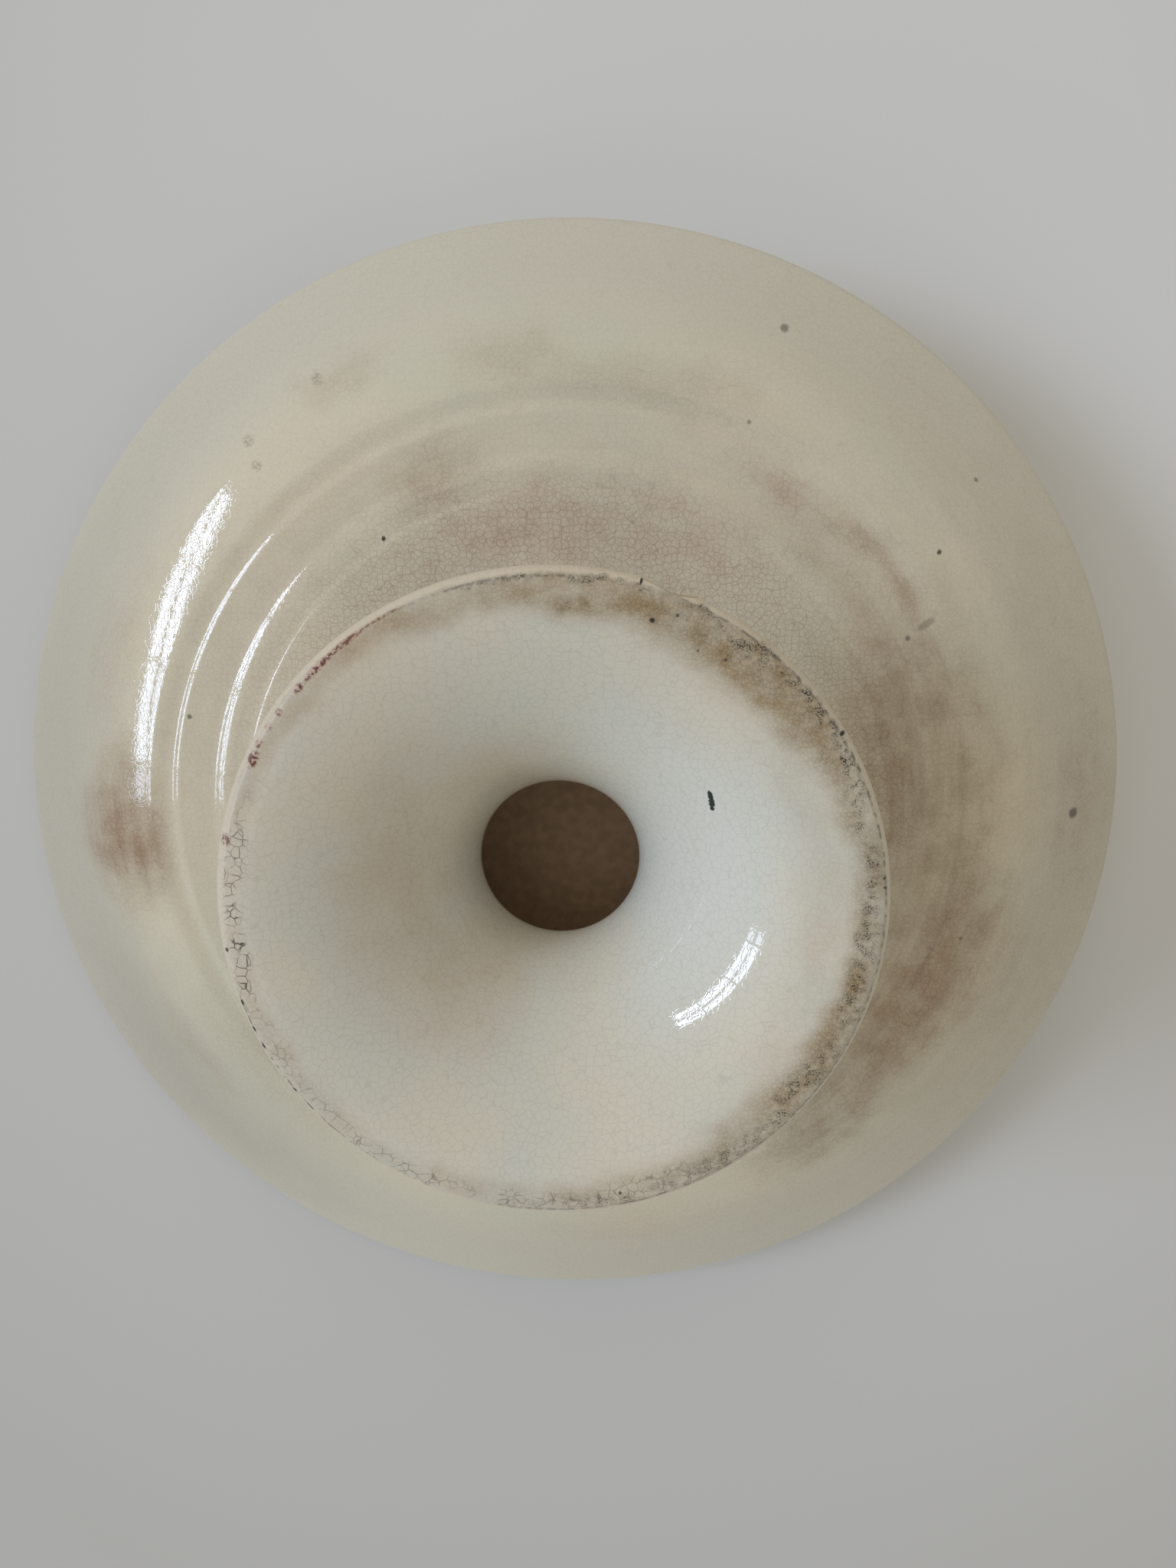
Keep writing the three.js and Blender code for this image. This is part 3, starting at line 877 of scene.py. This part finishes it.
def makePedestal(p, material):
    footCentre = Vector((p["footRadius"] - p["footRound"], p["footRound"]))
    standingInside = Vector((footCentre.x - p["standingRingWidth"], 0))
    throat = Vector((p["throatRadius"], p["throatHeight"]))
    waist = Vector((p["throatRadius"] + p["waistWall"], p["throatHeight"]))
    collarOutside = Vector((p["collarRadius"], p["height"]))
    collarInside = Vector((p["collarRadius"] - p["collarWall"], p["height"]))

    edge = arcPoints(footCentre, p["footRound"], -90, 90 - p["footTopSlope"], steps=16)
    outline = [standingInside] + edge
    outline += flowPoints(edge[-1], 180 - p["footTopSlope"], waist, 90, p["fullness"], steps=22)[1:]
    outline += flowPoints(waist, 90, collarOutside, p["collarSlope"], p["fullness"], steps=14)[1:]
    outline += flowPoints(collarInside, p["collarSlope"] - 180, throat, -90 - p["throatFlare"],
                          p["fullness"], steps=14)
    outline += flowPoints(throat, -90, standingInside, -p["hollowEdgeSlope"], p["fullness"], steps=40)[1:]
    piece = turnOutline("glazed_pedestal", outline, p["segments"])
    wobble(piece, p["wobbleSize"], p["wobbleDepth"])
    for chip in p["chips"].values():
        scoopChip(piece, chip)
    finishPiece(piece, "pedestal", material)


# Slip joint, between the collar and the plate. It spreads into a cove on both sides of the collar's wall.
slip = {
    "low": slipLow.z,
    "high": slipHigh.z,
    "outer": slipHigh.x,
    "spread": 1.9,
    "wall": 5.0,
    "fullness": 0.55,
    "segments": 240,
}


def makeSlip(p, material):
    collarOuter = p["outer"] - p["spread"]
    collarInner = collarOuter - p["wall"]
    outerCove = flowPoints((collarOuter, p["low"]), 90, (p["outer"], p["high"]), 0, p["fullness"], steps=8)
    innerCove = flowPoints((collarInner - p["spread"], p["high"]), 0, (collarInner, p["low"]), -90,
                           p["fullness"], steps=8)
    piece = turnOutline("luting_slip_ring", outerCove + innerCove + outerCove[:1], p["segments"])
    finishPiece(piece, "luting_slip", material)


# Floor and backdrop. Each shows only from its front: the floor from above, and the backdrop from below,
# where the object's underside is looked at. Neither shades the object. Sizes are in metres, apart from the
# gap.
stage = {
    "floor": "#C8C8C5",
    "floorFar": "#B8B8B5",
    "backdrop": "#CCCECD",
    "backdropFar": "#B5B6B3",
    "palest": (-0.05, 0.10),   # where the paint is palest, from the axis
    "shadeFrom": 0.10,
    "shadeTo": 0.34,
    "squeeze": 1.2,   # it darkens this much faster across than along
    "size": 4.0,
    "backdropLean": 0.092,   # the backdrop's slope, both across and along
    "gap": 0.6,   # between the lip and the backdrop, in mm
}


# Painted shade: the paint darkens a little away from its palest place, as a wall darkens away from its
# window.
def makeOneSided(name, hexColour, farColour, s):
    material, tree = startMaterial(name)
    away = addNode(tree, "VectorMath", {0: addNode(tree, "TexCoord", {}).outputs["Object"],
                                        1: (s["squeeze"], 1, 0),
                                        2: (-s["squeeze"] * s["palest"][0], -s["palest"][1], 0)},
                   operation="MULTIPLY_ADD")
    away = addNode(tree, "VectorMath", {0: away}, operation="LENGTH")
    shade = addNode(tree, "MapRange", {"Value": away, "From Min": s["shadeFrom"], "From Max": s["shadeTo"]})
    colour = addNode(tree, "Mix", {"Factor": shade, "A": linear(hexColour), "B": linear(farColour)},
                     data_type="RGBA")
    paint = addNode(tree, "BsdfDiffuse", {"Color": colour})
    clear = addNode(tree, "BsdfTransparent", {})
    behind = addNode(tree, "NewGeometry", {}).outputs["Backfacing"]
    shown = addNode(tree, "MixShader", {0: behind, 1: paint, 2: clear})
    addNode(tree, "OutputMaterial", {"Surface": shown})
    return material


def addSheet(name, material, size):
    bpy.ops.object.select_all(action="DESELECT")
    bpy.ops.mesh.primitive_plane_add(size=size)
    sheet = bpy.context.object
    sheet.name = name
    sheet.data.materials.append(material)
    for way in ("visible_diffuse", "visible_glossy", "visible_transmission", "visible_shadow"):
        setattr(sheet, way, False)
    return sheet


def makeStage(s):
    addSheet("floor", makeOneSided("palePaint", s["floor"], s["floorFar"], s), s["size"])
    backdrop = addSheet("backdrop", makeOneSided("paleBackdropPaint", s["backdrop"], s["backdropFar"], s),
                        s["size"])
    lean = s["backdropLean"]
    rise = (plateHigh.z + s["gap"] + plateHigh.x * math.hypot(lean, lean)) * mm
    facing = Vector((-lean, lean, -1))
    backdrop.rotation_euler = facing.to_track_quat("Z", "Y").to_euler()
    backdrop.location = (0, 0, rise)
    bpy.ops.object.transform_apply(location=True, rotation=True, scale=True)
    print("stage set")


# A tall casement window stands at the camera's left, with panes between its bars. Low down it sees
# houses and not sky, so the lowest panes are dimmer. Sizes are in metres. A row of panes is ( height, share
# of the radiance ), from the bottom up.
window = {
    "middle": (2.97, 0.51, -2.33),
    "facing": (-1, 0, 0),
    "up": (0, 0.985, -0.17),
    "paneWidth": 0.17,
    "mullion": 0.09,
    "panes": [(0.20, 0.45), (0.72, 0.80), (0.73, 1.0), (0.72, 1.0)],
    "sashBar": 0.04,
    "radiance": 15.0,
    "colour": "#D6E4FF",
}

# Softboxes fill in what a whole room gives. They don't show in the glaze.
softboxes = {
    "daylight_softbox": {"at": (2.9, 0.6, -2.25), "size": 1.2, "radiance": 10.5, "colour": "#D6E4FF"},
    "front_softbox": {"at": (0.9, 0.5, -2.4), "size": 1.4, "radiance": 1.0, "colour": "#F6F8FF"},
    "ceiling_softbox": {"at": (0.15, 1.6, -0.9), "size": 1.6, "radiance": 0.95, "colour": "#FFEBD2"},
    "table_softbox": {"at": (0.3, -1.3, -0.9), "size": 1.4, "radiance": 0.6, "colour": "#FFF8EC"},
    "overhead_softbox": {"at": (-0.3, -0.2, 1.4), "size": 0.9, "radiance": 0.9, "colour": "#FFF8EC"},
}
room = {"warmGrey": "#FFF8EC", "backdrop": "#B4B5B2", "strength": 0.44}


def addPane(name, middle, facing, up, width, height, radiance, hexColour):
    lamp = bpy.data.lights.new(name, "AREA")
    lamp.shape = "RECTANGLE"
    lamp.size, lamp.size_y = width, height
    lamp.energy = radiance * math.pi * width * height
    lamp.color = linear(hexColour)[:3]
    pane = bpy.data.objects.new(name, lamp)
    bpy.context.scene.collection.objects.link(pane)
    facing = Vector(facing).normalized()
    side = Vector(up).cross(-facing).normalized()
    turn = Matrix((side, (-facing).cross(side), -facing)).transposed()
    pane.matrix_world = Matrix.Translation(middle) @ turn.to_4x4()
    pane.visible_camera = False
    return pane


def makeWindow(w):
    up = Vector(w["up"]).normalized()
    side = up.cross(Vector(w["facing"])).normalized()
    total = sum(height for height, share in w["panes"]) + w["sashBar"] * (len(w["panes"]) - 1)
    bottom = -total / 2
    for row, (height, share) in enumerate(w["panes"]):
        for column in (-0.5, 0.5):
            across = column * (w["paneWidth"] + w["mullion"])
            middle = Vector(w["middle"]) + side * across + up * (bottom + height / 2)
            addPane(f"window_pane_{row}_{column > 0:d}", middle, w["facing"], up, w["paneWidth"], height,
                    w["radiance"] * share, w["colour"])
        bottom += height + w["sashBar"]


def makeLights():
    makeWindow(window)
    for name, box in softboxes.items():
        at = Vector(box["at"])
        lamp = addPane(name, at, -at, (1, 0, 0), box["size"], box["size"], box["radiance"], box["colour"])
        lamp.visible_glossy = False

    world = bpy.context.scene.world or bpy.data.worlds.new("room")
    bpy.context.scene.world = world
    world.use_nodes = True
    tree = world.node_tree
    tree.nodes.clear()
    light = addNode(tree, "LightPath", {})
    seen = addNode(tree, "Math", {0: light.outputs["Is Camera Ray"], 1: light.outputs["Is Glossy Ray"]},
                   operation="MAXIMUM")
    seen = addNode(tree, "Math", {0: seen, 1: light.outputs["Is Transmission Ray"]}, operation="MAXIMUM")
    walls = addNode(tree, "Background", {"Color": linear(room["warmGrey"]), "Strength": room["strength"]})
    backdrop = addNode(tree, "Background", {"Color": linear(room["backdrop"]), "Strength": 1.0})
    shown = addNode(tree, "MixShader", {0: seen, 1: walls, 2: backdrop})
    addNode(tree, "OutputWorld", {"Surface": shown})
    print("lights on")


# The camera looks up at the underside. It was fitted to the ellipses of the rim, the foot and the throat.
camera = {
    "location": (-9.1, 54.8, -164.4),   # in mm
    "forward": (0.0215, -0.2099, 0.9775),
    "roll": 0.26,
    "lens": 26.37,
    "sensor": 36,
}


def makeCamera(c):
    data = bpy.data.cameras.new("photo_camera")
    data.lens = c["lens"]
    data.sensor_width = c["sensor"]
    data.clip_start = mm
    lookout = bpy.data.objects.new("photo_camera", data)
    bpy.context.scene.collection.objects.link(lookout)
    forward = Vector(c["forward"]).normalized()
    right = forward.cross(Vector((0, 1, 0))).normalized()
    turn = Matrix((right, right.cross(forward), -forward)).transposed()
    turn = turn @ Matrix.Rotation(math.radians(c["roll"]), 3, "Z")
    lookout.matrix_world = Matrix.Translation(Vector(c["location"]) * mm) @ turn.to_4x4()
    bpy.context.scene.camera = lookout


makePlate(plate, makePlateGlaze(plateGlaze))
makePedestal(pedestal, makePedestalGlaze(pedestalGlaze))
makeSlip(slip, makeSlipFinish(slipLook))
makeStage(stage)
makeLights()
makeCamera(camera)
bpy.context.scene.view_settings.view_transform = "Standard"
